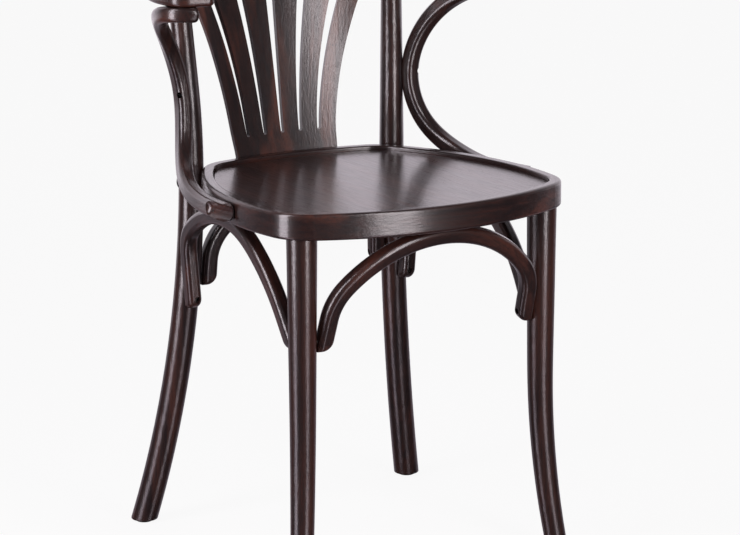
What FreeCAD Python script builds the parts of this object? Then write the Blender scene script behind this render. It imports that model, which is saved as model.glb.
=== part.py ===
"""Bentwood fan-back armchair: legs, seat rim, arches, arm bow and slotted fan back.

X runs across the chair, the sitter faces -Y and Z is up from the floor.
Plan sizes are given from the middle of the seat, and every finished piece is
then moved so that the origin lies under the middle of the whole chair.
"""
import FreeCAD, Part
import math
import os

os.makedirs("parts", exist_ok=True)
Vector = FreeCAD.Vector
X_AXIS = Vector(1, 0, 0)
UP = Vector(0, 0, 1)

# Heights
seat_height = 460.0
arm_underside = 674.0

# Clearances
seat_gap = 0.2
hole_gap = 0.15
panel_gap = 0.4

# Seat rim: plan arcs of the outer edge and its section
rim_height = 31.5
rim_width = 36.0
rim_edge_round = 4.0
rim_lip_round = 2.5
rim_front_reach = 187.0
rim_front_radius = 380.0
rim_side_reach = 204.0
rim_side_radius = 375.0
rim_widest_y = -45.0
rim_rear_reach = 202.0
rim_rear_radius = 450.0
rim_front_corner = 58.0
rim_rear_corner = 60.0
rim_lip_width = 14.5

# Seat panel
panel_thickness = 6.0
panel_recess = 5.5
panel_edge_round = 1.5

# Rear legs, which run on past the seat as posts
rear_leg_x = 145.0
rear_leg_y = 185.2
rear_leg_foot_radius = 16.2
rear_leg_seat_radius = 15.6
rear_leg_top_radius = 12.9
rear_foot_reach = 68.0
rear_splay_direction = 41.0
post_straight_above_seat = 10.0
post_bend_radius = 950.0
post_lean = 5.4
post_lean_direction = 60.0
post_tenon_radius = 9.0
post_tenon_length = 15.0

# Front legs
front_leg_x = 167.0
front_leg_y = -121.0
front_leg_foot_radius = 13.2
front_leg_top_radius = 18.0
front_bend_height = 236.0
front_foot_reach = 24.8
front_splay_direction = -52.5
front_tenon_radius = 10.0
front_tenon_length = 15.0

# Floor glides
glide_radius = 10.0
glide_thickness = 3.0
glide_edge_round = 1.0
glide_nail_radius = 1.2
glide_nail_length = 18.0
glide_nail_head_radius = 3.0
glide_nail_head_height = 1.0
foot_edge_round = 1.5

# Bent bars: arches and arm supports share one stock
bar_width = 20.0
bar_thickness = 18.0
bar_round = 6.0
bar_end_round = 14.0

# Arches under the rim
arch_bite = 1.2
arch_end_splay = 3.0
front_arch_end_drop = 137.0
front_arch_end_y = -121.0
front_arch_crown_y = -162.0
front_arch_corner_radius = 63.0
front_arch_corner_turn = 39.0
rear_arch_end_drop = 122.0
rear_arch_end_y = 187.0
rear_arch_crown_y = 181.0
rear_arch_corner_radius = 60.0
rear_arch_corner_turn = 40.0
side_arch_end_drop = 144.5
side_arch_rear_x = 154.5
side_arch_front_x = 166.0
side_arch_bulge = 11.0
side_arch_crown_y = 54.5
side_arch_corner_radius = 43.0
side_arch_corner_turn = 53.0
side_arch_front_radii = (123.0, 232.0)
side_arch_front_turns = (34.5, 24.5)
side_arch_tip_run = 40.0

# Arm bow: plan arcs of its middle line and its section
bow_side_centre_x = 100.0
bow_side_centre_y = 105.0
bow_side_radius = 108.0
bow_rear_radius = 312.0
bow_width = 46.0
bow_thickness = 24.0
bow_round = 6.0
bow_inner_end_angle = -38.0
bow_outer_end_angle = -18.0
bow_outer_end_round = 24.0
bow_inner_end_round = 9.0

# Crest rail on the back of the bow
crest_height = 72.0
crest_end_height = 20.0
crest_thickness = 20.0
crest_half_angle = 34.0
crest_round = 6.0
crest_dowel_angles = (-25.0, -9.0, 9.0, 25.0)
crest_dowel_radius = 4.0
crest_dowel_in_bow = 9.0
crest_dowel_in_crest = 14.0

# Fan back: a bent ply sheet with slots between its slats
fan_thickness = 6.5
fan_foot_drop = 30.0
fan_in_bow = 10.0
fan_flat_above_seat = -8.0
fan_kick = 4.5
fan_kick_height = 45.0
fan_lean = 0.169
fan_top_radius = 295.0
fan_round_height = 150.0
fan_half_width = 70.8
fan_flare_radius = 560.0
fan_flare_drop = 35.0
fan_stations = 9
slot_pitch = 24.5
slot_flare_radius = 1290.0
slot_count = 5
slot_stations = 5
slot_foot_above_seat = 24.0
slot_foot_width = 4.5
slot_widening = 0.045
slot_head_gap = 14.0

# Arm supports
support_width = 21.3
support_arm_width = 18.0
support_nose_y = -31.0
support_leave_y = 35.0
support_leave_gap = 1.0
support_rim_drop = 14.9
support_low_drop = 16.6
support_heel = (195.0, 99.9)
support_heel_drop = 6.4
support_rise = (173.4, 150.8)
support_rise_above_seat = 29.1
support_post_above_seat = 92.0
support_post_direction = -45.0
support_post_bite = 1.0
support_shoulder = (187.8, 160.9)
support_shoulder_drop = 55.3
support_elbow = (218.5, 121.8)
support_elbow_drop = 18.5
support_arm_front = (224.3, 83.5)
support_arm_tip = (198.0, 64.0)
support_arm_run = 75.0
support_stations = 30
support_end_steps = ((0, 0.5), (0.8, 0.72), (2.5, 0.88), (6, 0.98))
support_end_length = 11.0
gouge_radius = 10.4
gouge_length = 36.0
gouge_depth = 7.0
gouge_lip = 1.5
gouge_run_out = 10.0

# Fasteners
screw_radius = 2.0
screw_head_radius = 3.6
screw_head_height = 2.4
screw_slot_width = 0.9
screw_slot_depth = 1.1
arch_screw_grip = 12.0
arch_screw_rise = 12.0
leg_screw_length = 28.0
rim_screw_grip = 11.0
rim_screw_length = 26.0
support_rim_screw_y = 13.0
support_rim_screw_drop = 20.0
support_rim_screw_length = 46.0
support_post_grip = 8.0
support_post_screw_length = 22.0
support_arm_grip = 9.0
support_arm_screw_length = 26.0
support_arm_screw_back = 19.0
fan_screw_x = 46.0
fan_screw_drop = 19.0
fan_screw_length = 28.0
bolt_radius = 3.0
bolt_drop = 21.5
bolt_head_radius = 8.0
bolt_head_height = 3.0
bolt_tip_stand_out = 2.0
washer_radius = 7.0
washer_thickness = 1.5
nut_across_flats = 10.0
nut_height = 5.0
nut_seat_depth = 2.5
pin_radius = 3.0
pin_length = 26.0
pin_drop = 24.0

# Levels that follow from the heights
rim_bottom = seat_height - rim_height
panel_bottom = seat_height - panel_recess - panel_thickness
arm_top = arm_underside + bow_thickness
leg_bottom = glide_thickness
crest_top = arm_top + crest_height
slot_head = arm_underside - slot_head_gap
support_rim_z = seat_height - support_rim_drop
support_post_z = seat_height + support_post_above_seat

# Plan places that follow from the arcs
bow_rear_centre_y = bow_side_centre_y - math.sqrt(
    (bow_rear_radius - bow_side_radius) ** 2 - bow_side_centre_x ** 2)
bow_join_angle = math.degrees(math.atan2(bow_side_centre_y - bow_rear_centre_y, bow_side_centre_x))
chair_rear_y = bow_rear_centre_y + bow_rear_radius + bow_width / 2
origin_y = (chair_rear_y - rim_front_reach) / 2


# Plain geometry helpers
def heading(degrees):
    """Unit vector in plan at an angle from +X."""
    turn = math.radians(degrees)
    return Vector(math.cos(turn), math.sin(turn), 0)


def on_circle(centre, radius, degrees):
    """Point of a plan circle at an angle from +X."""
    return centre + heading(degrees) * radius


def plan_angle(start, end):
    """Angle in plan of the line from one point to another."""
    return math.degrees(math.atan2(end.y - start.y, end.x - start.x))


def arc_edge(centre, radius, start, end):
    """Plan arc between two angles."""
    middle = (start + end) / 2
    points = [on_circle(centre, radius, angle) for angle in (start, middle, end)]
    return Part.Arc(*points).toShape()


def line_edge(start, end):
    """Straight edge."""
    return Part.LineSegment(start, end).toShape()


def raised(shape, height):
    """Copy of a shape lifted by a height."""
    return shape.translated(UP * height)


def prism(face, bottom, top):
    """Plan face drawn out between two heights."""
    return raised(face, bottom).extrude(UP * (top - bottom))


def rod(start, direction, radius, length):
    """Round rod from a point along a direction."""
    return Part.makeCylinder(radius, length, start, direction)


def mirrored(shape):
    """The same piece on the other side of the chair."""
    return shape.mirror(Vector(0, 0, 0), X_AXIS)


def both_sides(shape):
    """A piece and its mirror image."""
    return [shape, mirrored(shape)]


def below(height):
    """Large block that ends at a height and clears all that lies under it."""
    size = 4 * seat_height
    return Part.makeBox(size, size, size, Vector(-size / 2, -size / 2, height - size))


def above(height):
    """Large block that starts at a height."""
    size = 4 * seat_height
    return Part.makeBox(size, size, size, Vector(-size / 2, -size / 2, height))


def middle_of(edge):
    """Point half way along an edge."""
    return edge.valueAt((edge.FirstParameter + edge.LastParameter) / 2)


def edges_on(shape, wire):
    """Edges of a shape whose middle lies on a wire."""
    return [edge for edge in shape.Edges
            if wire.distToShape(Part.Vertex(middle_of(edge)))[0] < 0.01]


def level_edges(shape, height):
    """Edges of a shape that lie wholly at one height."""
    return [edge for edge in shape.Edges
            if abs(edge.BoundBox.ZMin - height) < 0.01 and abs(edge.BoundBox.ZMax - height) < 0.01]


def upright_edges(shape, x_sign_pairs):
    """Straight upright edges near given plan points."""
    found = []
    for edge in shape.Edges:
        tall = edge.BoundBox.ZLength > 1 and edge.BoundBox.XLength < 0.01
        near = any((middle_of(edge).x - x) ** 2 + (middle_of(edge).y - y) ** 2 < 1
                   for x, y in x_sign_pairs)
        if tall and near:
            found.append(edge)
    return found


def save(node, solids):
    """Write one node in the chair's own frame."""
    shape = Part.makeCompound(solids) if len(solids) > 1 else solids[0]
    shape.translated(Vector(0, -origin_y, 0)).exportStep("parts/" + node + ".step")


# Screws: a countersunk head with a crossed slot on a plain shank
def screw(seat, direction, length):
    """Screw whose head bottom starts to narrow at the seat and whose shank runs along direction."""
    head = Part.makeCone(screw_head_radius, screw_radius, screw_head_height, seat, direction)
    body = head.fuse(rod(seat, direction, screw_radius, length)).removeSplitter()
    for turn in (0, 90):
        slot = Part.makeBox(screw_head_radius * 1.2, screw_slot_width, screw_slot_depth,
                            Vector(-screw_head_radius * 0.6, -screw_slot_width / 2, 0))
        slot.rotate(Vector(0, 0, 0), UP, turn)
        slot.Placement = FreeCAD.Placement(seat, FreeCAD.Rotation(UP, direction)).multiply(
            slot.Placement)
        body = body.cut(slot)
    return body


def screw_hole(seat, direction, length, entry):
    """Room for a screw: shank, countersink and the way in behind the head."""
    head = Part.makeCone(screw_head_radius + hole_gap, screw_radius + hole_gap,
                         screw_head_height, seat, direction)
    shank = rod(seat, direction, screw_radius + hole_gap, length + hole_gap)
    way_in = rod(seat, direction * -1, screw_head_radius + hole_gap, entry)
    return head.fuse([shank, way_in])


# Round legs, lofted through circles square to their axis
def circle_wire(centre, axis, radius):
    """Circle as two half arcs that start on the same side at every station."""
    across = (X_AXIS - axis * X_AXIS.dot(axis)).normalize()
    other = axis.cross(across)
    points = [centre + across * (radius * a) + other * (radius * b)
              for a, b in ((1, 0), (0, 1), (-1, 0), (0, -1))]
    halves = [Part.Arc(points[0], points[1], points[2]).toShape(),
              Part.Arc(points[2], points[3], points[0]).toShape()]
    return Part.Wire(halves)


def round_loft(axis_at, radius_at, heights, growth):
    """Round rod through circles at given heights of a leaning axis."""
    wires = []
    for height in heights:
        direction = (axis_at(height + 1) - axis_at(height - 1)).normalize()
        wires.append(circle_wire(axis_at(height), direction, radius_at(height) + growth))
    return Part.makeLoft(wires, True, False)


def between(low, high, share):
    """Value part of the way from one to another."""
    return low + (high - low) * share


def spaced(low, high, count):
    """Evenly spaced values with both ends."""
    return [between(low, high, index / (count - 1)) for index in range(count)]


def bend_out(drop, height, reach):
    """Sideways travel of a circular bend that is plumb at its top and has a reach at its foot."""
    radius = (height ** 2 + reach ** 2) / (2 * reach)
    return radius - math.sqrt(radius ** 2 - drop ** 2)


def rear_axis(height):
    """Axis of a rear leg and its post on the +X side."""
    place = Vector(rear_leg_x, rear_leg_y, height)
    post_start = seat_height + post_straight_above_seat
    if height < seat_height:
        out = bend_out(seat_height - height, seat_height, rear_foot_reach)
        return place + heading(rear_splay_direction) * out
    if height > post_start:
        lean = math.radians(post_lean)
        bend_top = post_start + post_bend_radius * math.sin(lean)
        rise = min(height, bend_top) - post_start
        back = post_bend_radius - math.sqrt(post_bend_radius ** 2 - rise ** 2)
        back += max(0, height - bend_top) * math.tan(lean)
        return place + heading(post_lean_direction) * back
    return place


def rear_radius(height):
    """Radius of a rear leg, thinner towards the arm."""
    if height < seat_height:
        return between(rear_leg_foot_radius, rear_leg_seat_radius, height / seat_height)
    share = (height - seat_height) / (arm_underside - seat_height)
    return between(rear_leg_seat_radius, rear_leg_top_radius, share)


def front_axis(height):
    """Axis of a front leg on the +X side."""
    place = Vector(front_leg_x, front_leg_y, height)
    if height >= front_bend_height:
        return place
    out = bend_out(front_bend_height - height, front_bend_height, front_foot_reach)
    return place + heading(front_splay_direction) * out


def front_radius(height):
    """Radius of a front leg, thinner towards the floor."""
    return between(front_leg_foot_radius, front_leg_top_radius, max(0, height) / rim_bottom)


def rear_rod(growth):
    """Rear leg stock, run past both of its ends."""
    heights = spaced(-20, rim_bottom, 9)
    heights += spaced(rim_bottom, arm_underside + 20, 11)[1:]
    return round_loft(rear_axis, rear_radius, heights, growth)


def front_rod(growth):
    """Front leg stock, run past both of its ends."""
    heights = spaced(-20, front_bend_height, 7)
    heights += spaced(front_bend_height, rim_bottom + 20, 5)[1:]
    return round_loft(front_axis, front_radius, heights, growth)


# Seat rim outline
def circles_meet(first, first_radius, second, second_radius, y_sign):
    """Crossing of two plan circles on the +X side, towards the front or the rear."""
    span = second - first
    distance = span.Length
    along = (first_radius ** 2 - second_radius ** 2 + distance ** 2) / (2 * distance)
    off = math.sqrt(first_radius ** 2 - along ** 2)
    base = first + span * (along / distance)
    side = Vector(-span.y, span.x, 0) * (off / distance)
    return max([base + side, base - side], key=lambda point: point.x * 0.2 + point.y * y_sign)


def rim_arcs():
    """Centre, radius and end angles of each arc of the rim's outer edge, anticlockwise."""
    front = Vector(0, rim_front_radius - rim_front_reach, 0)
    rear = Vector(0, rim_rear_reach - rim_rear_radius, 0)
    side = Vector(rim_side_reach - rim_side_radius, rim_widest_y, 0)
    front_corner = circles_meet(front, rim_front_radius - rim_front_corner,
                                side, rim_side_radius - rim_front_corner, -1)
    rear_corner = circles_meet(rear, rim_rear_radius - rim_rear_corner,
                               side, rim_side_radius - rim_rear_corner, 1)
    turns = [plan_angle(front, front_corner), plan_angle(side, front_corner),
             plan_angle(side, rear_corner), plan_angle(rear, rear_corner)]
    right = [(front_corner, rim_front_corner, turns[0], turns[1]),
             (side, rim_side_radius, turns[1], turns[2]),
             (rear_corner, rim_rear_corner, turns[2], turns[3])]
    left = [(Vector(-centre.x, centre.y, 0), radius, 180 - end, 180 - start)
            for centre, radius, start, end in reversed(right)]
    front_arc = (front, rim_front_radius, -180 - turns[0], turns[0])
    rear_arc = (rear, rim_rear_radius, turns[3], 180 - turns[3])
    return [front_arc] + right + [rear_arc] + left


def rim_face(inset):
    """Plan face inside the rim's outer edge, drawn in by an inset."""
    edges = [arc_edge(centre, radius - inset, start, end)
             for centre, radius, start, end in rim_arcs()]
    return Part.Face(Part.Wire(edges))


def side_rim_point(y, stand_off):
    """Point beside the rim's outer edge on the +X side arc."""
    centre = Vector(rim_side_reach - rim_side_radius, rim_widest_y, 0)
    angle = math.degrees(math.asin((y - rim_widest_y) / rim_side_radius))
    return on_circle(centre, rim_side_radius + stand_off, angle)


# Bolts that hold the rear legs to the rim
rear_corner_centre = rim_arcs()[3][0]
bolt_height = seat_height - bolt_drop
bolt_axis_point = Vector(rear_leg_x, rear_leg_y, bolt_height)
bolt_direction = (Vector(rear_corner_centre.x, rear_corner_centre.y, bolt_height)
                  - bolt_axis_point).normalize()
bolt_head_seat = bolt_axis_point - bolt_direction * rear_leg_seat_radius
rim_inner_radius = rim_rear_corner - rim_width
nut_seat = (Vector(rear_corner_centre.x, rear_corner_centre.y, bolt_height)
            - bolt_direction * (rim_inner_radius + nut_seat_depth))


def rear_bolt():
    """Domed bolt through the post and the rim."""
    grip = (nut_seat - bolt_head_seat).dot(bolt_direction)
    length = grip + washer_thickness + nut_height + bolt_tip_stand_out
    shank = rod(bolt_head_seat, bolt_direction, bolt_radius, length)
    sphere_radius = (bolt_head_radius ** 2 + bolt_head_height ** 2) / (2 * bolt_head_height)
    dome = Part.makeSphere(sphere_radius,
                           bolt_head_seat + bolt_direction * (sphere_radius - bolt_head_height))
    head = dome.common(rod(bolt_head_seat, bolt_direction * -1, bolt_head_radius + 1,
                           bolt_head_height + 1))
    return shank.fuse(head).removeSplitter()


def rear_bolt_hole():
    """Room for the bolt, with a flat for its head outside the post."""
    shank = rod(bolt_head_seat - bolt_direction, bolt_direction,
                bolt_radius + hole_gap, 3 * rim_width)
    head_flat = rod(bolt_head_seat, bolt_direction * -1,
                    bolt_head_radius + hole_gap, rear_leg_seat_radius)
    return shank.fuse(head_flat)


def nut_pocket():
    """Flat seat for the washer on the rim's inner face."""
    return rod(nut_seat, bolt_direction, washer_radius + 2 * hole_gap, rim_inner_radius)


def rear_washer():
    """Flat washer under the nut."""
    disc = rod(nut_seat, bolt_direction, washer_radius, washer_thickness)
    return disc.cut(rod(nut_seat, bolt_direction, bolt_radius + hole_gap, washer_thickness))


def rear_nut():
    """Hexagon nut on the bolt."""
    corner = nut_across_flats / math.sqrt(3)
    points = [heading(60 * index) * corner for index in range(7)]
    nut = Part.Face(Part.makePolygon(points)).extrude(UP * nut_height)
    seat = nut_seat + bolt_direction * washer_thickness
    nut.Placement = FreeCAD.Placement(seat, FreeCAD.Rotation(UP, bolt_direction))
    return nut.cut(rod(seat, bolt_direction, bolt_radius + hole_gap, nut_height))


# Front leg pins, driven from the rim's inner face into the tenons
front_corner_centre = rim_arcs()[1][0]
front_outward = (Vector(front_leg_x, front_leg_y, 0)
                 - Vector(front_corner_centre.x, front_corner_centre.y, 0)).normalize()


def front_pin(growth):
    """Wooden pin across a front tenon."""
    start = Vector(front_corner_centre.x, front_corner_centre.y, seat_height - pin_drop)
    start = start + front_outward * (rim_front_corner - rim_width + 2)
    return rod(start, front_outward, pin_radius + growth, pin_length + growth)


# Bent bars in one plane: a strip that runs and turns left, drawn out across its plane
def strip_runs(start, turn, runs):
    """Start, centre and angles of each straight or curved run of a flat path."""
    place = start
    angle = turn
    made = []
    for kind, size, bend in runs:
        if kind == "line":
            made.append((kind, place, place + heading(angle) * size, angle, angle))
            place = place + heading(angle) * size
        else:
            centre = place + heading(angle + 90) * size
            made.append((kind, centre, size, angle - 90, angle - 90 + bend))
            place = on_circle(centre, size, angle - 90 + bend)
            angle += bend
    return made, place, angle


def strip_edges(made, offset):
    """Edges of a flat path moved to the outside of its bends by an offset."""
    edges = []
    for run in made:
        if run[0] == "line":
            shift = heading(run[3] - 90) * offset
            edges.append(line_edge(run[1] + shift, run[2] + shift))
        else:
            edges.append(arc_edge(run[1], run[2] + offset, run[3], run[4]))
    return edges


def strip_end(place, angle, far):
    """Rounded end of a strip: its inner corner is cut round, its outer corner is the tip."""
    inward = heading(angle + 90)
    ahead = heading(angle) * (1 if far else -1)
    outer = place - inward * (bar_width / 2)
    inner = place + inward * (bar_width / 2)
    centre = inner - inward * bar_end_round - ahead * bar_end_round
    foot = centre + ahead * bar_end_round
    side = centre + inward * bar_end_round
    bisector = (ahead + inward).normalize()
    curve = Part.Arc(foot, centre + bisector * bar_end_round, side).toShape()
    return [line_edge(outer, foot), curve], side


def bent_bar(start, turn, runs, frame):
    """Bar of the shared stock along a flat path, placed by its frame."""
    made, place, angle = strip_runs(start, turn, runs)
    near_edges, near_side = strip_end(start, turn, False)
    far_edges, far_side = strip_end(place, angle, True)
    outer = strip_edges(made, bar_width / 2)
    inner = strip_edges(made[1:-1], -bar_width / 2)
    first = made[0][2] + heading(turn + 90) * (bar_width / 2)
    last = made[-1][1] + heading(angle + 90) * (bar_width / 2)
    inner.insert(0, line_edge(near_side, first))
    inner.append(line_edge(last, far_side))
    wire = Part.Wire(Part.__sortEdges__(outer + near_edges + far_edges + inner))
    half = bar_thickness / 2
    bar = Part.Face(wire).translated(UP * -half).extrude(UP * bar_thickness)
    bar = bar.makeFillet(bar_round, level_edges(bar, half) + level_edges(bar, -half))
    bar.Placement = frame
    return bar


def leaning_frame(base, along, crown, rise):
    """Placement whose X runs along a level line and whose Y leans from the base to the crown."""
    side = crown - base
    lean = side - along * side.dot(along)
    upward = Vector(lean.x, lean.y, rise).normalize()
    normal = along.cross(upward)
    matrix = FreeCAD.Matrix(along.x, upward.x, normal.x, base.x,
                            along.y, upward.y, normal.y, base.y,
                            along.z, upward.z, normal.z, base.z,
                            0, 0, 0, 1)
    return FreeCAD.Placement(matrix)


def crown_rise(end_drop, lean):
    """Length up the leaning plane from an arch's ends to the middle line of its crown."""
    plumb = end_drop - bar_width / 2 + arch_bite
    return plumb, math.sqrt(plumb ** 2 + lean ** 2)


def even_arch(half_span, end_drop, end_y, crown_y, corner_radius, corner_turn):
    """Arch across the chair with two like ends that splay a little towards the legs."""
    plumb, rise = crown_rise(end_drop, crown_y - end_y)
    splay = math.radians(arch_end_splay)
    corner_end = math.radians(arch_end_splay + corner_turn)
    half_crown = 90 - arch_end_splay - corner_turn
    corner_in = corner_radius * (math.cos(splay) - math.cos(corner_end))
    corner_up = corner_radius * (math.sin(corner_end) - math.sin(splay))
    slope = math.tan(math.radians(half_crown / 2))
    straight = ((rise - corner_up - (half_span - corner_in) * slope)
                / (math.cos(splay) - slope * math.sin(splay)))
    crown_radius = ((half_span - straight * math.sin(splay) - corner_in)
                    / math.sin(math.radians(half_crown)))
    runs = [("line", straight, 0), ("arc", corner_radius, corner_turn),
            ("arc", crown_radius, 2 * half_crown), ("arc", corner_radius, corner_turn),
            ("line", straight, 0)]
    base = Vector(0, end_y, rim_bottom - end_drop)
    frame = leaning_frame(base, X_AXIS, Vector(0, crown_y, 0), plumb)
    return bent_bar(Vector(half_span, 0, 0), 90 + arch_end_splay, runs, frame)


def seated(bar, neighbours):
    """Bar planed flat under the rim and hollowed where it meets the legs."""
    return bar.cut([above(rim_bottom)] + neighbours)


def level_screw(start, end, height, depth, grip, length):
    """Seat and direction of a level screw that enters the piece at the end point."""
    direction = Vector(end.x - start.x, end.y - start.y, 0).normalize()
    face = Vector(end.x, end.y, height) - direction * depth
    return face - direction * grip, direction, length


# Front and rear arches
front_end_height = rim_bottom - front_arch_end_drop
rear_end_height = rim_bottom - rear_arch_end_drop
side_end_height = rim_bottom - side_arch_end_drop
front_leg_here = front_radius(front_end_height)
rear_leg_here = rear_radius(rear_end_height)
front_arch_half_span = front_leg_x - front_leg_here - seat_gap - bar_width / 2
rear_arch_half_span = (rear_axis(rear_end_height + bar_width).x - rear_leg_here
                       - seat_gap - bar_width / 2)


def front_arch_bar():
    """Arch between the front legs."""
    return even_arch(front_arch_half_span, front_arch_end_drop, front_arch_end_y,
                     front_arch_crown_y, front_arch_corner_radius, front_arch_corner_turn)


def rear_arch_bar():
    """Arch between the rear legs."""
    return even_arch(rear_arch_half_span, rear_arch_end_drop, rear_arch_end_y,
                     rear_arch_crown_y, rear_arch_corner_radius, rear_arch_corner_turn)


# Side arches
side_rear_y = rear_axis(side_end_height).y - rear_radius(side_end_height) - seat_gap - bar_width / 2
side_leg_face_y = front_leg_y + front_radius(side_end_height)


def side_arch_bar():
    """Arch between a front and a rear leg on the +X side, steep behind and long in front."""
    along = Vector(side_arch_front_x - side_arch_rear_x, side_leg_face_y - side_rear_y, 0)
    along = along.normalize() * -1
    plumb, rise = crown_rise(side_arch_end_drop, side_arch_bulge)
    base = Vector(side_arch_rear_x, side_rear_y, side_end_height)
    frame = leaning_frame(base, along, base + Vector(side_arch_bulge, 0, 0), plumb)
    crown_reach = side_rear_y - side_arch_crown_y
    corner = math.radians(side_arch_corner_turn)
    rear_run = crown_reach - side_arch_corner_radius * (1 - math.cos(corner))
    rear_radius_here = rear_run / math.cos(corner)
    corner_rise = side_arch_corner_radius * math.sin(corner)
    rear_rise = rear_radius_here * (1 - math.sin(corner))
    runs = [("line", rise - corner_rise - rear_rise, 0),
            ("arc", side_arch_corner_radius, side_arch_corner_turn),
            ("arc", rear_radius_here, 90 - side_arch_corner_turn)]
    runs += [("arc", radius, turn)
             for radius, turn in zip(side_arch_front_radii, side_arch_front_turns)]
    runs.append(("line", side_arch_tip_run, 0))
    return bent_bar(Vector(0, 0, 0), 90, runs, frame)


# Places of the arch screws on the +X side
def arch_leg_screw_places():
    """Seat, direction and length of each level screw from an arch into a leg."""
    front_height = front_end_height + arch_screw_rise
    rear_height = rear_end_height + arch_screw_rise
    side_height = side_end_height + arch_screw_rise
    front_leg = front_axis(front_height)
    rear_leg = rear_axis(rear_height)
    rear_leg_low = rear_axis(side_height)
    return [
        level_screw(Vector(0, front_leg.y - 3, 0), Vector(front_leg.x, front_leg.y - 3, 0),
                    front_height, front_radius(front_height), arch_screw_grip, leg_screw_length),
        level_screw(Vector(0, rear_leg.y, 0), rear_leg,
                    rear_height, rear_radius(rear_height), arch_screw_grip, leg_screw_length),
        level_screw(Vector(side_arch_rear_x, 0, 0), Vector(side_arch_rear_x, rear_leg_low.y, 0),
                    side_height, rear_radius(side_height), arch_screw_grip, leg_screw_length),
        level_screw(Vector(side_arch_front_x, 0, 0), Vector(side_arch_front_x, front_leg_y, 0),
                    side_height + bar_width / 2, front_radius(side_height), arch_screw_grip,
                    leg_screw_length),
    ]


def arch_rim_screw_places():
    """Seat, direction and length of each upright screw from an arch crown into the rim."""
    height = rim_bottom - rim_screw_grip
    crown_x = side_arch_rear_x + side_arch_bulge + (
        (side_arch_front_x - side_arch_rear_x) * (side_rear_y - side_arch_crown_y)
        / (side_rear_y - side_leg_face_y))
    places = [(0, front_arch_crown_y), (0, rear_arch_crown_y),
              (crown_x, side_arch_crown_y), (-crown_x, side_arch_crown_y)]
    return [(Vector(x, y, height), UP, rim_screw_length) for x, y in places]


# Arm supports: bent bars that leave the rim, pass the post and turn up under the arm
def support_points():
    """Places that the middle line of the +X support passes through."""
    stand_off = bar_thickness / 2 - seat_gap
    low_z = seat_height - support_low_drop
    nose = side_rim_point(support_nose_y, stand_off)
    halfway = side_rim_point((support_nose_y + support_leave_y) / 2, stand_off)
    leave = side_rim_point(support_leave_y, stand_off + support_leave_gap)
    post = rear_axis(support_post_z)
    reach = rear_radius(support_post_z) + support_width / 2 - support_post_bite
    touch = post + heading(support_post_direction) * reach
    arm_level = arm_underside - support_arm_width / 2 + seat_gap
    return [Vector(nose.x, nose.y, support_rim_z),
            Vector(halfway.x, halfway.y, (support_rim_z + low_z) / 2),
            Vector(leave.x, leave.y, low_z),
            Vector(*support_heel, seat_height - support_heel_drop),
            Vector(*support_rise, seat_height + support_rise_above_seat),
            touch,
            Vector(*support_shoulder, arm_underside - support_shoulder_drop),
            Vector(*support_elbow, arm_underside - support_elbow_drop),
            Vector(*support_arm_front, arm_level),
            Vector(*support_arm_tip, arm_level)]


def support_curve():
    """Middle line of the +X support."""
    curve = Part.BSplineCurve()
    curve.interpolate(support_points())
    return curve


def bar_wire(centre, tangent, width, scale):
    """Rounded rectangle square to a path, its thickness towards the side of the chair."""
    side = (X_AXIS - tangent * X_AXIS.dot(tangent)).normalize()
    rise = side.cross(tangent)
    half_side = bar_thickness / 2 * scale
    half_rise = width / 2 * scale
    corner = bar_round * scale
    slant = corner * (1 - math.sqrt(0.5))

    def at(a, b):
        return centre + side * a + rise * b

    corners = []
    for a_sign, b_sign, upright_first in ((1, 1, True), (-1, 1, False), (-1, -1, True), (1, -1, False)):
        a = a_sign * half_side
        b = b_sign * half_rise
        on_side = at(a, b - b_sign * corner)
        on_rise = at(a - a_sign * corner, b)
        bulge = at(a - a_sign * slant, b - b_sign * slant)
        start, end = (on_side, on_rise) if upright_first else (on_rise, on_side)
        corners.append((start, bulge, end))
    edges = []
    for index, (start, bulge, end) in enumerate(corners):
        edges.append(Part.Arc(start, bulge, end).toShape())
        edges.append(line_edge(end, corners[(index + 1) % len(corners)][0]))
    return Part.Wire(edges)


def support_bar():
    """The +X support, with both of its ends rounded off and thinner under the arm."""
    curve = support_curve()
    length = curve.length()
    stations = list(support_end_steps)
    stations += [(place, 1) for place in spaced(support_end_length, length - support_end_length,
                                                support_stations)]
    stations += [(length - step, scale) for step, scale in reversed(support_end_steps)]
    wires = []
    for place, scale in stations:
        parameter = curve.parameterAtDistance(place)
        share = min(1, (length - place) / support_arm_run)
        width = between(support_arm_width, support_width, share)
        wires.append(bar_wire(curve.value(parameter), Vector(*curve.tangent(parameter)[0]),
                              width, scale))
    return Part.makeLoft(wires, True, False)


def support_screw_places():
    """Seat, direction and length of the rim, post and arm screws of the +X support."""
    inner = side_rim_point(support_rim_screw_y, screw_head_height - rim_width)
    rim_seat = Vector(inner.x, inner.y, seat_height - support_rim_screw_drop)
    post = rear_axis(support_post_z)
    outward = heading(support_post_direction)
    post_seat = post + outward * (rear_radius(support_post_z) + support_post_grip)
    curve = support_curve()
    under_arm = curve.value(curve.parameterAtDistance(curve.length() - support_arm_screw_back))
    arm_seat = Vector(under_arm.x, under_arm.y, arm_underside - support_arm_grip)
    return [(rim_seat, X_AXIS, support_rim_screw_length),
            (post_seat, outward * -1, support_post_screw_length),
            (arm_seat, UP, support_arm_screw_length)]


def gouge():
    """Round scoop that thins the nose of the +X support down to a lip on the rim."""
    back = side_rim_point(support_nose_y + gouge_length, bar_thickness + gouge_radius - gouge_depth)
    front = side_rim_point(support_nose_y - gouge_run_out, gouge_radius + gouge_lip)
    start = Vector(back.x, back.y, support_rim_z)
    run = front - back
    return Part.makeSphere(gouge_radius, start).fuse(rod(start, run, gouge_radius, run.Length))


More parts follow.
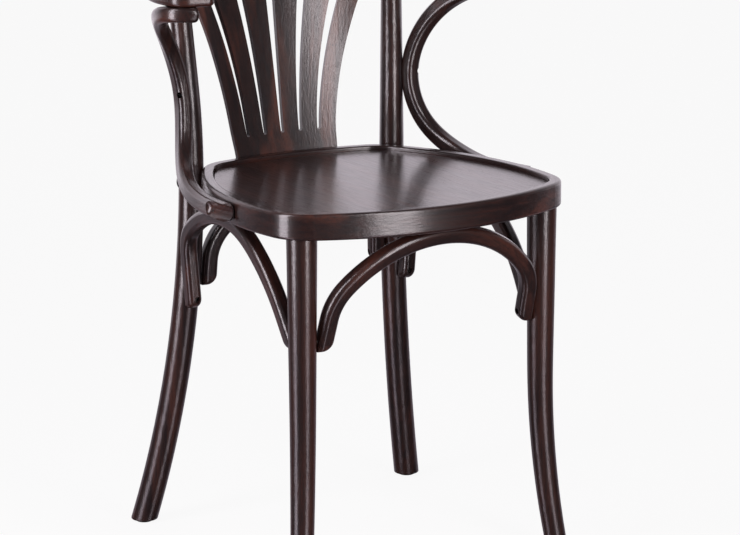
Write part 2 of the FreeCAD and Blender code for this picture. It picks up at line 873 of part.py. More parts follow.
# Arm bow and crest rail
def bow_arcs(offset):
    """Centre, radius and end angles of the bow's edge at an offset from its middle line."""
    end_angle = bow_outer_end_angle if offset > 0 else bow_inner_end_angle
    right = (Vector(bow_side_centre_x, bow_side_centre_y, 0), bow_side_radius + offset,
             end_angle, bow_join_angle)
    rear = (Vector(0, bow_rear_centre_y, 0), bow_rear_radius + offset,
            bow_join_angle, 180 - bow_join_angle)
    left = (Vector(-bow_side_centre_x, bow_side_centre_y, 0), bow_side_radius + offset,
            180 - bow_join_angle, 180 - end_angle)
    return [right, rear, left]


def arm_bow_blank():
    """Flat horseshoe with rounded paddle ends and soft edges."""
    outer = [arc_edge(*arc) for arc in bow_arcs(bow_width / 2)]
    inner = [arc_edge(*arc) for arc in bow_arcs(-bow_width / 2)]
    side = Vector(bow_side_centre_x, bow_side_centre_y, 0)
    outer_end = on_circle(side, bow_side_radius + bow_width / 2, bow_outer_end_angle)
    inner_end = on_circle(side, bow_side_radius - bow_width / 2, bow_inner_end_angle)
    ends = both_sides(line_edge(outer_end, inner_end))
    wire = Part.Wire(Part.__sortEdges__(outer + inner + ends))
    blank = prism(Part.Face(wire), arm_underside, arm_top)
    outer_corners = upright_edges(blank, [(outer_end.x, outer_end.y), (-outer_end.x, outer_end.y)])
    blank = blank.makeFillet(bow_outer_end_round, outer_corners)
    inner_corners = upright_edges(blank, [(inner_end.x, inner_end.y), (-inner_end.x, inner_end.y)])
    blank = blank.makeFillet(bow_inner_end_round, inner_corners)
    return blank.makeFillet(bow_round,
                            level_edges(blank, arm_top) + level_edges(blank, arm_underside))


def crest_dowels(growth):
    """Dowels between the bow and the crest rail."""
    centre = Vector(0, bow_rear_centre_y, arm_top - crest_dowel_in_bow - growth)
    length = crest_dowel_in_bow + crest_dowel_in_crest + 2 * growth
    return [rod(centre + heading(90 + angle) * bow_rear_radius, UP,
                crest_dowel_radius + growth, length) for angle in crest_dowel_angles]


def crest_blank():
    """Curved rail, tallest in the middle."""
    centre = Vector(0, bow_rear_centre_y, 0)
    start = 90 - crest_half_angle
    end = 90 + crest_half_angle
    inner = bow_rear_radius - crest_thickness / 2
    outer = bow_rear_radius + crest_thickness / 2
    edges = [arc_edge(centre, inner, start, end), arc_edge(centre, outer, start, end)]
    edges += [line_edge(on_circle(centre, inner, angle), on_circle(centre, outer, angle))
              for angle in (start, end)]
    plan = Part.Face(Part.Wire(Part.__sortEdges__(edges)))
    board = prism(plan, arm_top, crest_top + 10)
    reach = outer * math.sin(math.radians(crest_half_angle)) + 5
    low = arm_top + crest_end_height
    corners = [Vector(-reach, 0, low), Vector(-reach, 0, arm_top - 1),
               Vector(reach, 0, arm_top - 1), Vector(reach, 0, low)]
    front_edges = [line_edge(corners[index], corners[index + 1]) for index in range(3)]
    front_edges.append(Part.Arc(corners[3], Vector(0, 0, crest_top), corners[0]).toShape())
    front = Part.Face(Part.Wire(front_edges)).extrude(Vector(0, 2 * bow_rear_radius, 0))
    crest = board.common(front)
    soft = [edge for edge in crest.Edges if edge.BoundBox.ZMax > arm_top + 1]
    return crest.makeFillet(crest_round, soft)


# Fan back
def fan_middle(height):
    """Y of the middle of the fan sheet and the radius of its bend at a height."""
    start = seat_height + fan_flat_above_seat
    rise = max(0, height - start)
    share = min(1, rise / fan_kick_height)
    kick = fan_kick * share * share * (3 - 2 * share)
    y = rim_rear_reach + seat_gap + fan_thickness / 2 + kick + fan_lean * rise
    foot_curve = 1 / (rim_rear_radius + seat_gap + fan_thickness / 2)
    top_curve = 1 / fan_top_radius
    return y, 1 / between(foot_curve, top_curve, min(1, rise / fan_round_height))


def flare(height, start, radius):
    """Sideways travel of an upright line that flares out along an arc."""
    rise = max(0, height - start)
    return radius - math.sqrt(radius ** 2 - rise ** 2)


def fan_edge(height):
    """Half width of the fan at a height."""
    return fan_half_width + flare(height, seat_height - fan_flare_drop, fan_flare_radius)


def fan_wire(height, growth):
    """Level cut through the fan sheet."""
    y, radius = fan_middle(height)
    half = fan_edge(height) + growth
    edges = []
    ends = []
    for step in (-1, 1):
        r = radius + step * (fan_thickness / 2 + growth)
        depth = y - radius + math.sqrt(r ** 2 - half ** 2)
        left = Vector(-half, depth, height)
        right = Vector(half, depth, height)
        crown = Vector(0, y - radius + r, height)
        edges.append(Part.Arc(left, crown, right).toShape())
        ends.append((left, right))
    edges.insert(1, line_edge(ends[0][1], ends[1][1]))
    edges.append(line_edge(ends[0][0], ends[1][0]))
    return Part.Wire(Part.__sortEdges__(edges))


def fan_sheet(growth):
    """Bent sheet from behind the rim up into the bow."""
    foot = seat_height - fan_foot_drop
    knee = seat_height + fan_flat_above_seat
    top = arm_underside + fan_in_bow + growth
    heights = [foot, (foot + knee) / 2] + spaced(knee, top, fan_stations)
    return Part.makeLoft([fan_wire(height, growth) for height in heights], True, False)


def slot_cutter(index):
    """Slot square to the bent sheet, round at both ends and wider above; index 0 is the middle one."""
    start = seat_height - fan_flare_drop
    foot = seat_height + slot_foot_above_seat

    def place(height):
        """Centre of the sheet's bend, its radius and the slot's angle and half width."""
        y, radius = fan_middle(height)
        along = index * slot_pitch
        if index != 0:
            along += math.copysign(flare(height, start, slot_flare_radius / abs(index)), index)
        half = (slot_foot_width + slot_widening * (height - foot)) / 2
        return Vector(0, y - radius, height), radius, 90 - math.degrees(along / radius), half

    def level_cut(height):
        centre, radius, angle, half = place(height)
        spread = math.degrees(half / radius)
        corners = [on_circle(centre, radius + step * fan_thickness, angle + turn * spread)
                   for step, turn in ((-1, -1), (1, -1), (1, 1), (-1, 1), (-1, -1))]
        return Part.makePolygon(corners)

    def round_end(height):
        centre, radius, angle, half = place(height)
        return rod(on_circle(centre, radius - fan_thickness, angle), heading(angle), half,
                   2 * fan_thickness)

    body = Part.makeLoft([level_cut(height) for height in spaced(foot, slot_head, slot_stations)], True)
    return body.fuse([round_end(foot), round_end(slot_head)])


def fan_screw_places():
    """Seat, direction and length of the screws from the fan's foot into the rim."""
    height = seat_height - fan_screw_drop
    y, radius = fan_middle(height)
    places = []
    for x in (-fan_screw_x, fan_screw_x):
        back = y - radius + math.sqrt((radius + fan_thickness / 2) ** 2 - x ** 2)
        places.append((Vector(x, back, height), Vector(0, -1, 0), fan_screw_length))
    return places


# Holes shared by several pieces
def holes(places, entry):
    """Screw rooms at a list of places."""
    return [screw_hole(seat, direction, length, entry) for seat, direction, length in places]


def mirrored_places(places):
    """The same screw places on the other side of the chair."""
    return [(Vector(-seat.x, seat.y, seat.z), Vector(-direction.x, direction.y, direction.z), length)
            for seat, direction, length in places]


arch_leg_places = arch_leg_screw_places()
arch_rim_places = arch_rim_screw_places()
support_places = support_screw_places()
fan_places = fan_screw_places()
arch_leg_holes = holes(arch_leg_places, 2 * bar_width)
arch_rim_holes = holes(arch_rim_places, bar_width)
support_holes = holes(support_places, bar_width)
fan_holes = holes(fan_places, bar_width)


def glide(axis_at):
    """Floor glide under a foot."""
    place = axis_at(glide_thickness)
    disc = rod(Vector(place.x, place.y, 0), UP, glide_radius, glide_thickness)
    disc = disc.makeFillet(glide_edge_round, level_edges(disc, 0))
    return disc.cut(glide_nail(axis_at, hole_gap))


def glide_nail(axis_at, growth):
    """Nail that holds a glide, its head sunk in the glide."""
    place = axis_at(glide_thickness)
    foot = Vector(place.x, place.y, glide_nail_head_height)
    head = rod(foot, UP, glide_nail_head_radius + growth, glide_nail_head_height)
    shank = rod(foot, UP, glide_nail_radius + growth, glide_nail_length + growth)
    room = head.fuse(shank).removeSplitter()
    if growth > 0:
        room = room.fuse(rod(Vector(place.x, place.y, 0), UP,
                             glide_nail_head_radius + growth, glide_nail_head_height))
    return room


def flat_foot(leg):
    """Leg cut flat above its glide, with its lower edge eased."""
    leg = leg.cut(below(leg_bottom))
    return leg.makeFillet(foot_edge_round, level_edges(leg, leg_bottom))


# Legs
front_leg = flat_foot(front_rod(0)).cut(above(rim_bottom))
front_tenon = rod(Vector(front_leg_x, front_leg_y, rim_bottom - 1), UP,
                  front_tenon_radius, front_tenon_length + 1)
front_leg = front_leg.fuse(front_tenon)
front_leg = front_leg.cut(arch_leg_holes + [front_pin(hole_gap), glide_nail(front_axis, hole_gap)])
save("front_leg_right", [front_leg])
save("front_leg_left", [mirrored(front_leg)])

rear_leg = flat_foot(rear_rod(0)).cut(above(arm_underside))
post_top = rear_axis(arm_underside)
post_tenon = rod(post_top - UP, UP, post_tenon_radius, post_tenon_length + 1)
rear_leg = rear_leg.fuse(post_tenon)
rear_leg = rear_leg.cut(arch_leg_holes + support_holes[1:2]
                        + [rear_bolt_hole(), glide_nail(rear_axis, hole_gap)])
save("rear_leg_right", [rear_leg])
save("rear_leg_left", [mirrored(rear_leg)])

# Seat rim and panel
rim = prism(rim_face(0), rim_bottom, seat_height)
rim = rim.cut([prism(rim_face(rim_width), rim_bottom - 1, seat_height + 1),
               prism(rim_face(rim_lip_width), panel_bottom, seat_height + 1)])
outer_wire = rim_face(0).OuterWire
rim = rim.makeFillet(rim_edge_round, edges_on(rim, raised(outer_wire, rim_bottom))
                     + edges_on(rim, raised(outer_wire, seat_height)))
lip_wire = raised(rim_face(rim_lip_width).OuterWire, seat_height)
rim = rim.makeFillet(rim_lip_round, edges_on(rim, lip_wire))
post_seat = rod(Vector(rear_leg_x, rear_leg_y, 0), UP, rear_leg_seat_radius + seat_gap, arm_underside)
tenon_hole = rod(Vector(front_leg_x, front_leg_y, 0), UP, front_tenon_radius + hole_gap,
                 rim_bottom + front_tenon_length + hole_gap)
one_side_cuts = [post_seat, tenon_hole, rear_bolt_hole(), nut_pocket(), front_pin(hole_gap),
                 support_holes[0]]
rim_cuts = arch_rim_holes + fan_holes
for cut in one_side_cuts:
    rim_cuts += both_sides(cut)
save("seat_rim", [rim.cut(rim_cuts)])

panel = prism(rim_face(rim_lip_width + panel_gap), panel_bottom, panel_bottom + panel_thickness)
panel = panel.makeFillet(panel_edge_round, level_edges(panel, panel_bottom + panel_thickness))
save("seat_panel", [panel])

# Arches
front_rods = both_sides(front_rod(seat_gap))
rear_rods = both_sides(rear_rod(seat_gap))
all_leg_holes = arch_leg_holes + [mirrored(hole) for hole in arch_leg_holes]
save("front_arch", [seated(front_arch_bar(), front_rods + all_leg_holes + arch_rim_holes)])
save("rear_arch", [seated(rear_arch_bar(), rear_rods + all_leg_holes + arch_rim_holes)])
tip_cut = Part.makeBox(4 * bar_width, 4 * bar_width, seat_height,
                       Vector(front_leg_x - 2 * bar_width,
                              side_leg_face_y + seat_gap - 4 * bar_width, 0))
side_arch = seated(side_arch_bar(), [front_rods[0], rear_rods[0], tip_cut]
                   + arch_leg_holes + arch_rim_holes)
save("right_arch", [side_arch])
save("left_arch", [mirrored(side_arch)])

# Fan back, arm bow and crest rail
slots = [slot_cutter(index) for index in range(-(slot_count // 2), slot_count // 2 + 1)]
fan = fan_sheet(0).cut(slots + fan_holes)
save("fan_back", [fan])

tenon_room = rod(post_top - UP, UP, post_tenon_radius + hole_gap, post_tenon_length + 1 + hole_gap)
bow = arm_bow_blank().cut([fan_sheet(hole_gap)] + both_sides(tenon_room)
                          + both_sides(support_holes[2]) + crest_dowels(hole_gap))
save("arm_bow", [bow])
save("crest_rail", [crest_blank().cut(crest_dowels(hole_gap))])
save("crest_dowels", crest_dowels(0))

# Arm supports
support = support_bar().cut([prism(rim_face(-seat_gap), rim_bottom - bar_width, seat_height + bar_width),
                             above(arm_underside), rear_rods[0], gouge()] + support_holes)
save("arm_support_right", [support])
save("arm_support_left", [mirrored(support)])

# Fasteners, like ones together
def screws(places):
    """Screws at a list of places."""
    return [screw(seat, direction, length) for seat, direction, length in places]


save("arch_leg_screws", screws(arch_leg_places + mirrored_places(arch_leg_places)))
save("arch_rim_screws", screws(arch_rim_places))
save("fan_rim_screws", screws(fan_places))
save("support_rim_screws", screws(support_places[0:1] + mirrored_places(support_places[0:1])))
save("support_post_screws", screws(support_places[1:2] + mirrored_places(support_places[1:2])))
save("support_arm_screws", screws(support_places[2:3] + mirrored_places(support_places[2:3])))
save("rear_leg_bolts", both_sides(rear_bolt()))
save("rear_leg_washers", both_sides(rear_washer()))
save("rear_leg_nuts", both_sides(rear_nut()))
save("front_leg_pins", both_sides(front_pin(0)))
save("floor_glides", both_sides(glide(front_axis)) + both_sides(glide(rear_axis)))
save("glide_nails", both_sides(glide_nail(front_axis, 0)) + both_sides(glide_nail(rear_axis, 0)))
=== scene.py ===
"""Looks of the bentwood fan-back armchair: stained and lacquered beech, studio light and camera."""
import math

import bpy
from mathutils import Euler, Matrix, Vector


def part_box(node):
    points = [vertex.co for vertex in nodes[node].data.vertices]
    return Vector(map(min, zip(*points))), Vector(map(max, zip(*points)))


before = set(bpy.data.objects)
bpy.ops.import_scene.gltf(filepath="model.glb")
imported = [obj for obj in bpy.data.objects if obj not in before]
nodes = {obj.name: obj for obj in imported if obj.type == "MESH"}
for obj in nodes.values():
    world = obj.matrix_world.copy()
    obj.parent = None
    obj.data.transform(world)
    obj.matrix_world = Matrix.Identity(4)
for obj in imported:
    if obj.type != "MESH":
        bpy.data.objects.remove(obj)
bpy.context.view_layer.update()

# Wood colours, from dark pore to red streak
PORE = (0.006, 0.003, 0.003)
DARK = (0.014, 0.0068, 0.0065)
MID = (0.038, 0.0145, 0.0112)
RED = (0.130, 0.039, 0.022)

# Wood figure: noise cells per metre across and along the grain
BROAD_CELLS = (26, 1.6)
STREAK_CELLS = (120, 4.0)
FINE_CELLS = (420, 22.0)
FLECK_CELLS = (1100, 110.0)
SEED_STEP = (1.7, 0.9, 2.3)

# Wood figure: noise values between which each colour or roughness comes in
STREAK_RANGE = (0.36, 0.66)
RED_RANGE = (0.50, 0.72)
FINE_RANGE = (0.45, 0.70)
FLECK_RANGE = (0.60, 0.72)
FLECK_SHARE = 0.75
ROUGH_RANGE = (0.3, 0.7)
SMOOTHER = 0.06
ROUGHER = 0.08

# Relief of the grain: shares of the two finest noises, then strength and depth in metres
FINE_RELIEF = 0.7
FLECK_RELIEF = 0.3
WOOD_RELIEF = {"Strength": 0.35, "Distance": 0.0003}
LACQUER_RELIEF = {"Strength": 0.55, "Distance": 0.0006}

# Wood finishes
WOOD_IOR = 1.55
LACQUER_IOR = 1.6
BAR_FINISH = {"roughness": 0.34, "coat": 1.0, "coat_roughness": 0.15, "figure": 0.6}
FAN_FINISH = {"roughness": 0.36, "coat": 1.0, "coat_roughness": 0.19, "figure": 0.4}
PANEL_FINISH = {"roughness": 0.32, "coat": 0.9, "coat_roughness": 0.14, "figure": 0.4}
BAR_WARMTH = 0.45
RIM_WARMTH = 1.0
FAN_WARMTH = 1.6
PANEL_WARMTH = 0.4

# Bends that the grain follows, in metres; for arches, drop of the bend's middle and radius
RIM_BEND = 0.19
BOW_BEND = 0.21
CREST_BEND = 0.30
CREST_BEND_AHEAD = 0.1
SUPPORT_BEND = 0.10
SUPPORT_BEND_AHEAD = 0.02
FRONT_ARCH_BEND = (0.13, 0.12)
REAR_ARCH_BEND = (0.11, 0.11)
SIDE_ARCH_BEND = (0.14, 0.12)
FAN_OPENING = 1.2

# Camera, measured from the middle of the seat at floor level
CAMERA_PLACE = Vector((-1.97487, -3.22120, 1.21983))
CAMERA_AZIMUTH = -31.50
CAMERA_ELEVATION = 12.98
CAMERA_ROLL = -0.09
CAMERA_LENS = 155.7
SENSOR_WIDTH = 36.0
RIM_FRONT_REACH = 0.187

# Studio levels, where 1 is white
WHITE = (1, 1, 1, 1)
STUDIO_DARK = 0.05
STUDIO_FILL = 0.30
STUDIO_BRIGHT = 0.85
BACKDROP_TINT = (1.0, 0.915, 1.0, 1)
BACKDROP_COSINES = (0.28, 0.62)

# Floor, in metres and shares; more white share leaves less of the chair's shadow
FLOOR_SIZE = 40.0
FLOOR_WHITE_SHARE = 0.92
# The floor's painted glow in reflections: metres behind the chair from none to full, and the
# strength at which it covers the gloss
FLOOR_GLOW_METRES = (0.5, 2.5)
FLOOR_GLOW_FULL = 0.5
FLOOR_MATTE = (0.82, 0.82, 0.82, 1)
FLOOR_GLOSS = (0.32, 0.30, 0.32, 1)
FLOOR_GLOSS_ROUGHNESS = 0.22

# Lamps: azimuth in degrees, sizes in metres
LAMP_ABOVE_FLOOR = 0.01
SOFTBOXES = {
    "left_softbox": {"azimuth": -88, "distance": 1.6, "width": 0.55, "height": 2.2,
                     "radiance": 6.0, "tint": (1.0, 0.92, 0.99)},
    "front_softbox": {"azimuth": 6, "distance": 1.7, "width": 0.50, "height": 2.2,
                      "radiance": 5.5, "tint": (1.0, 0.92, 0.95)},
}

rim_low, rim_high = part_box("seat_rim")
SEAT_Y = rim_low.y + RIM_FRONT_REACH
SEAT_TOP = rim_high.z


# Node helpers
class Graph:
    """Small wrapper that adds and links nodes of one material."""

    def __init__(self, owner):
        self.nodes = owner.node_tree.nodes
        self.links = owner.node_tree.links

    def add(self, kind, inputs=None, **settings):
        node = self.nodes.new(kind)
        for key, value in settings.items():
            setattr(node, key, value)
        for key, value in (inputs or {}).items():
            self.feed(node.inputs[key], value)
        return node

    def feed(self, socket, value):
        if isinstance(value, bpy.types.NodeSocket):
            self.links.new(value, socket)
        else:
            socket.default_value = value

    def math(self, operation, first, second=0.0):
        return self.add("ShaderNodeMath", {0: first, 1: second}, operation=operation).outputs[0]

    def vector_math(self, operation, first, second):
        return self.add("ShaderNodeVectorMath", {0: first, 1: second}, operation=operation)

    def vector(self, x, y, z):
        return self.add("ShaderNodeCombineXYZ", {"X": x, "Y": y, "Z": z}).outputs[0]

    def object_place(self):
        return self.add("ShaderNodeTexCoord").outputs["Object"]

    def noise(self, vector, scale, detail, roughness=0.55, distortion=0.0):
        inputs = {"Vector": vector, "Scale": scale, "Detail": detail,
                  "Roughness": roughness, "Distortion": distortion}
        return self.add("ShaderNodeTexNoise", inputs).outputs["Fac"]

    def spread(self, value, low, high, to_low=0.0, to_high=1.0):
        inputs = {"Value": value, "From Min": low, "From Max": high,
                  "To Min": to_low, "To Max": to_high}
        return self.add("ShaderNodeMapRange", inputs, clamp=True).outputs[0]

    def blend(self, share, first, second):
        node = self.add("ShaderNodeMix", data_type="RGBA")
        self.feed(node.inputs[0], share)
        self.feed(node.inputs[6], (*first, 1) if isinstance(first, tuple) else first)
        self.feed(node.inputs[7], (*second, 1) if isinstance(second, tuple) else second)
        return node.outputs[2]

    def mix_shaders(self, share, first, second):
        return self.add("ShaderNodeMixShader", {0: share, 1: first, 2: second}).outputs[0]

    def bump(self, height, relief):
        return self.add("ShaderNodeBump", {**relief, "Height": height}).outputs[0]


def new_material(name):
    """Empty node material with its shader and output."""
    material = bpy.data.materials.new(name)
    material.use_nodes = True
    graph = Graph(material)
    graph.nodes.clear()
    shader = graph.add("ShaderNodeBsdfPrincipled")
    graph.add("ShaderNodeOutputMaterial", {"Surface": shader.outputs[0]})
    return material, graph, shader


# Grain coordinates: two fine axes across the grain and one slow axis along it, in metres
def along_z(graph, place):
    return graph.vector(place[0], place[1], place[2])


def along_y(graph, place):
    return graph.vector(place[0], place[2], place[1])


def round_axis(axis, centre, radius):
    """Grain that runs round an axis, as in a bent bar."""
    first, second = {"x": (1, 2), "y": (0, 2), "z": (0, 1)}[axis]
    third = {"x": 0, "y": 1, "z": 2}[axis]

    def build(graph, place):
        u = graph.math("SUBTRACT", place[first], centre[0])
        v = graph.math("SUBTRACT", place[second], centre[1])
        angle = graph.math("ARCTAN2", v, u)
        squares = graph.math("ADD", graph.math("MULTIPLY", u, u), graph.math("MULTIPLY", v, v))
        distance = graph.math("SQRT", squares)
        return graph.vector(distance, place[third], graph.math("MULTIPLY", angle, radius))
    return build


def round_arch(node, axis, bend):
    """Grain that runs round the bend of an arch."""
    drop, radius = bend
    low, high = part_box(node)
    middle = (low + high) / 2
    across = middle.x if axis == "y" else middle.y
    return round_axis(axis, (across, high.z - drop), radius)


def fanned(graph, place):
    """Grain of the fan back, which opens a little towards the top."""
    rise = graph.math("SUBTRACT", place[2], SEAT_TOP)
    opening = graph.math("ADD", graph.math("MULTIPLY", rise, FAN_OPENING), 1.0)
    return graph.vector(graph.math("DIVIDE", place[0], opening), place[1], place[2])


def wood(name, coordinates, seed, warmth, roughness, coat, coat_roughness, figure):
    """Dark stained beech under lacquer, its grain along the given coordinates."""
    material, graph, shader = new_material(name)
    split = graph.add("ShaderNodeSeparateXYZ", {"Vector": graph.object_place()})
    grain = coordinates(graph, [split.outputs[index] for index in range(3)])
    shift = tuple(seed * step for step in SEED_STEP)
    shifted = graph.vector_math("ADD", grain, shift).outputs[0]

    def stretched(cells):
        across, along = cells
        return graph.vector_math("MULTIPLY", shifted, (across, across, along)).outputs[0]

    broad = graph.noise(stretched(BROAD_CELLS), 1.0, 3.0, 0.5, 0.6)
    streaks = graph.noise(stretched(STREAK_CELLS), 1.0, 4.0, 0.6, 0.4)
    fine = graph.noise(stretched(FINE_CELLS), 1.0, 3.0, 0.6)
    flecks = graph.noise(stretched(FLECK_CELLS), 1.0, 2.0, 0.5)

    base = graph.blend(graph.spread(streaks, *STREAK_RANGE), DARK, MID)
    red = graph.math("MULTIPLY", graph.spread(broad, *RED_RANGE), warmth)
    base = graph.blend(red, base, RED)
    base = graph.blend(graph.spread(fine, *FINE_RANGE, 0.0, figure), base, PORE)
    base = graph.blend(graph.spread(flecks, *FLECK_RANGE, 0.0, FLECK_SHARE), base, PORE)
    graph.feed(shader.inputs["Base Color"], base)

    rough = graph.spread(fine, *ROUGH_RANGE, roughness - SMOOTHER, roughness + ROUGHER)
    graph.feed(shader.inputs["Roughness"], rough)
    shader.inputs["IOR"].default_value = WOOD_IOR
    shader.inputs["Coat Weight"].default_value = coat
    shader.inputs["Coat Roughness"].default_value = coat_roughness
    shader.inputs["Coat IOR"].default_value = LACQUER_IOR

    height = graph.math("ADD", graph.math("MULTIPLY", fine, FINE_RELIEF),
                        graph.math("MULTIPLY", flecks, FLECK_RELIEF))
    graph.feed(shader.inputs["Normal"], graph.bump(height, WOOD_RELIEF))
    graph.feed(shader.inputs["Coat Normal"], graph.bump(height, LACQUER_RELIEF))
    return material


def raw_beech():
    """Pale turned dowels, all but hidden in their holes."""
    material, graph, shader = new_material("raw_beech")
    fine = graph.noise(graph.object_place(), 900.0, 3.0)
    colour = graph.blend(fine, (0.42, 0.26, 0.15), (0.60, 0.42, 0.27))
    graph.feed(shader.inputs["Base Color"], colour)
    shader.inputs["Roughness"].default_value = 0.65
    return material


def steel():
    """Dark steel with a fine, uneven sheen."""
    material, graph, shader = new_material("dark_steel")
    fine = graph.noise(graph.object_place(), 2500.0, 2.0)
    colour = graph.blend(fine, (0.10, 0.09, 0.085), (0.26, 0.25, 0.24))
    graph.feed(shader.inputs["Base Color"], colour)
    graph.feed(shader.inputs["Roughness"], graph.spread(fine, 0.2, 0.8, 0.28, 0.5))
    shader.inputs["Metallic"].default_value = 1.0
    return material


def nylon():
    """Black moulded glides with a fine grain and scuffs."""
    material, graph, shader = new_material("black_nylon")
    fine = graph.noise(graph.object_place(), 1400.0, 3.0)
    scuffs = graph.spread(fine, 0.5, 0.8)
    colour = graph.blend(scuffs, (0.012, 0.011, 0.011), (0.05, 0.048, 0.046))
    graph.feed(shader.inputs["Base Color"], colour)
    graph.feed(shader.inputs["Roughness"], graph.spread(fine, 0.2, 0.8, 0.45, 0.7))
    relief = graph.bump(fine, {"Strength": 0.3, "Distance": 0.0002})
    graph.feed(shader.inputs["Normal"], relief)
    return material


def set_material(node, material):
    """One material over a whole node."""
    data = nodes[node].data
    data.materials.clear()
    data.materials.append(material)


def dress():
    """Give every wooden piece its own grain, and the hardware its metal or plastic."""
    bow_low, bow_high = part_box("arm_bow")
    bow_centre = (0.0, (bow_low.y + bow_high.y) / 2)
    crest_centre = (0.0, bow_low.y - CREST_BEND_AHEAD)
    support_low, support_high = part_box("arm_support_right")
    support_centre = ((support_low.y + support_high.y) / 2 - SUPPORT_BEND_AHEAD,
                      (support_low.z + support_high.z) / 2)
    bars = {
        "seat_rim": (round_axis("z", (0.0, SEAT_Y), RIM_BEND), 1),
        "arm_bow": (round_axis("z", bow_centre, BOW_BEND), 2),
        "crest_rail": (round_axis("z", crest_centre, CREST_BEND), 3),
        "front_arch": (round_arch("front_arch", "y", FRONT_ARCH_BEND), 4),
        "rear_arch": (round_arch("rear_arch", "y", REAR_ARCH_BEND), 5),
        "left_arch": (round_arch("left_arch", "x", SIDE_ARCH_BEND), 6),
        "right_arch": (round_arch("right_arch", "x", SIDE_ARCH_BEND), 7),
        "arm_support_left": (round_axis("x", support_centre, SUPPORT_BEND), 8),
        "arm_support_right": (round_axis("x", support_centre, SUPPORT_BEND), 9),
        "front_leg_left": (along_z, 10),
        "front_leg_right": (along_z, 11),
        "rear_leg_left": (along_z, 12),
        "rear_leg_right": (along_z, 13),
    }
    for node, (coordinates, seed) in bars.items():
        warmth = RIM_WARMTH if node == "seat_rim" else BAR_WARMTH
        set_material(node, wood("beech_" + node, coordinates, seed, warmth, **BAR_FINISH))
    set_material("fan_back", wood("ply_fan_back", fanned, 14, FAN_WARMTH, **FAN_FINISH))
    set_material("seat_panel", wood("ply_seat_panel", along_y, 15, PANEL_WARMTH, **PANEL_FINISH))
    hidden_beech = raw_beech()
    for node in ("crest_dowels", "front_leg_pins"):
        set_material(node, hidden_beech)
    metal = steel()
    for node in nodes:
        if node.endswith(("_screws", "_bolts", "_washers", "_nuts", "_nails")):
            set_material(node, metal)
    set_material("floor_glides", nylon())


# Studio
def backdrop_glow(graph, vector, low, high):
    """Brightness of the white backdrop along or at a vector; it stands fixed behind the chair."""
    turn = math.radians(CAMERA_AZIMUTH)
    behind = (-math.sin(turn), math.cos(turn), 0.0)
    facing = graph.vector_math("DOT_PRODUCT", vector, behind).outputs["Value"]
    return graph.spread(facing, low, high, STUDIO_DARK, STUDIO_BRIGHT)


def studio_floor():
    """Floor all but white to the camera, so the chair's shadow is faint; it mirrors the lamps, and
    in reflections it glows behind the chair with painted backdrop light.
    """
    bpy.ops.mesh.primitive_plane_add(size=FLOOR_SIZE, location=(0, 0, 0))
    floor = bpy.context.object
    floor.name = "studio_floor"
    material = bpy.data.materials.new("studio_floor")
    material.use_nodes = True
    graph = Graph(material)
    graph.nodes.clear()
    path = graph.add("ShaderNodeLightPath")
    matte = graph.add("ShaderNodeBsdfDiffuse", {"Color": FLOOR_MATTE}).outputs[0]
    white = graph.add("ShaderNodeEmission", {"Color": WHITE, "Strength": 1.0}).outputs[0]
    share = graph.math("MULTIPLY", path.outputs["Is Camera Ray"], FLOOR_WHITE_SHARE)
    seen = graph.mix_shaders(share, matte, white)
    place = graph.add("ShaderNodeNewGeometry").outputs["Position"]
    backdrop = backdrop_glow(graph, place, *FLOOR_GLOW_METRES)
    gloss_inputs = {"Color": FLOOR_GLOSS, "Roughness": FLOOR_GLOSS_ROUGHNESS}
    gloss = graph.add("ShaderNodeBsdfAnisotropic", gloss_inputs).outputs[0]
    # Painted backdrop light: in reflections the floor glows where it lies behind the chair, though
    # it is no lamp
    glow_inputs = {"Color": BACKDROP_TINT, "Strength": backdrop}
    glow = graph.add("ShaderNodeEmission", glow_inputs).outputs[0]
    glow_share = graph.spread(backdrop, STUDIO_DARK, FLOOR_GLOW_FULL)
    mirrored = graph.mix_shaders(glow_share, gloss, glow)
    mix = graph.mix_shaders(path.outputs["Is Glossy Ray"], seen, mirrored)
    graph.add("ShaderNodeOutputMaterial", {"Surface": mix})
    floor.data.materials.append(material)


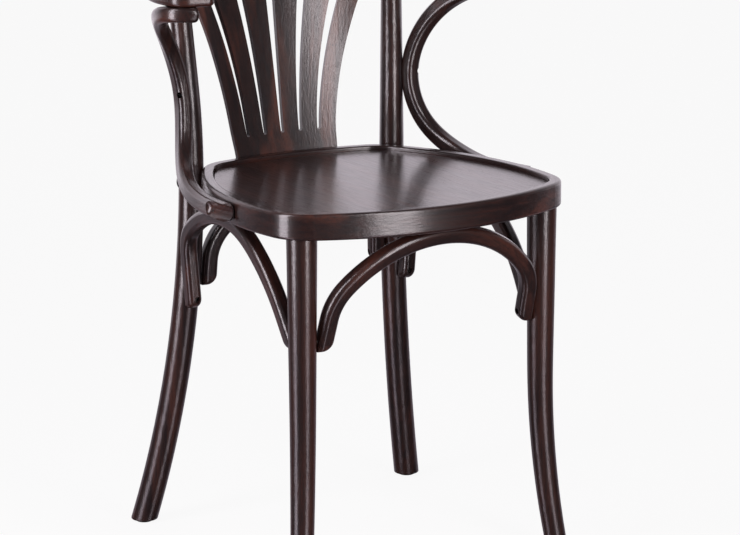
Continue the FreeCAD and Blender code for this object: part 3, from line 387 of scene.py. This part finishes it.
def world_light():
    """White to the camera; reflections see white behind the chair and a dim studio elsewhere."""
    world = bpy.data.worlds.new("studio")
    bpy.context.scene.world = world
    world.use_nodes = True
    graph = Graph(world)
    graph.nodes.clear()
    path = graph.add("ShaderNodeLightPath")
    mirrored = graph.math("MAXIMUM", path.outputs["Is Glossy Ray"],
                          path.outputs["Is Transmission Ray"])
    direction = graph.add("ShaderNodeTexCoord").outputs["Generated"]
    lit = graph.math("MULTIPLY", graph.math("SUBTRACT", 1.0, mirrored), STUDIO_FILL)
    backdrop = backdrop_glow(graph, direction, *BACKDROP_COSINES)
    strength = graph.math("ADD", lit, graph.math("MULTIPLY", mirrored, backdrop))
    studio_inputs = {"Color": BACKDROP_TINT, "Strength": strength}
    studio = graph.add("ShaderNodeBackground", studio_inputs).outputs[0]
    white = graph.add("ShaderNodeBackground", {"Color": WHITE, "Strength": 1.0}).outputs[0]
    mix = graph.mix_shaders(path.outputs["Is Camera Ray"], studio, white)
    graph.add("ShaderNodeOutputWorld", {"Surface": mix})


def softbox(name, azimuth, distance, width, height, radiance, tint):
    """Upright area lamp that stands on the floor and faces the chair."""
    turn = math.radians(azimuth)
    away = Vector((math.sin(turn), -math.cos(turn), 0))
    lamp = bpy.data.lights.new(name, "AREA")
    lamp.shape = "RECTANGLE"
    lamp.size = width
    lamp.size_y = height
    lamp.energy = radiance * math.pi * width * height
    lamp.color = tint
    holder = bpy.data.objects.new(name, lamp)
    holder.location = Vector((0, SEAT_Y, height / 2 + LAMP_ABOVE_FLOOR)) + away * distance
    holder.rotation_mode = "QUATERNION"
    holder.rotation_quaternion = (-away).to_track_quat("-Z", "Y")
    bpy.context.scene.collection.objects.link(holder)


def camera():
    """The photograph's view."""
    azimuth = math.radians(CAMERA_AZIMUTH)
    elevation = math.radians(CAMERA_ELEVATION)
    back = Vector((math.sin(azimuth) * math.cos(elevation),
                   -math.cos(azimuth) * math.cos(elevation),
                   math.sin(elevation)))
    data = bpy.data.cameras.new("camera")
    data.lens = CAMERA_LENS
    data.sensor_width = SENSOR_WIDTH
    data.sensor_fit = "HORIZONTAL"
    holder = bpy.data.objects.new("camera", data)
    holder.location = CAMERA_PLACE + Vector((0, SEAT_Y, 0))
    turn = (-back).to_track_quat("-Z", "Y").to_matrix()
    roll = Euler((0, 0, math.radians(CAMERA_ROLL))).to_matrix()
    holder.rotation_mode = "QUATERNION"
    holder.rotation_quaternion = (turn @ roll).to_quaternion()
    bpy.context.scene.collection.objects.link(holder)
    bpy.context.scene.camera = holder


bpy.context.scene.view_settings.view_transform = "Standard"
camera()
dress()
studio_floor()
world_light()
for softbox_name, softbox_values in SOFTBOXES.items():
    softbox(softbox_name, **softbox_values)
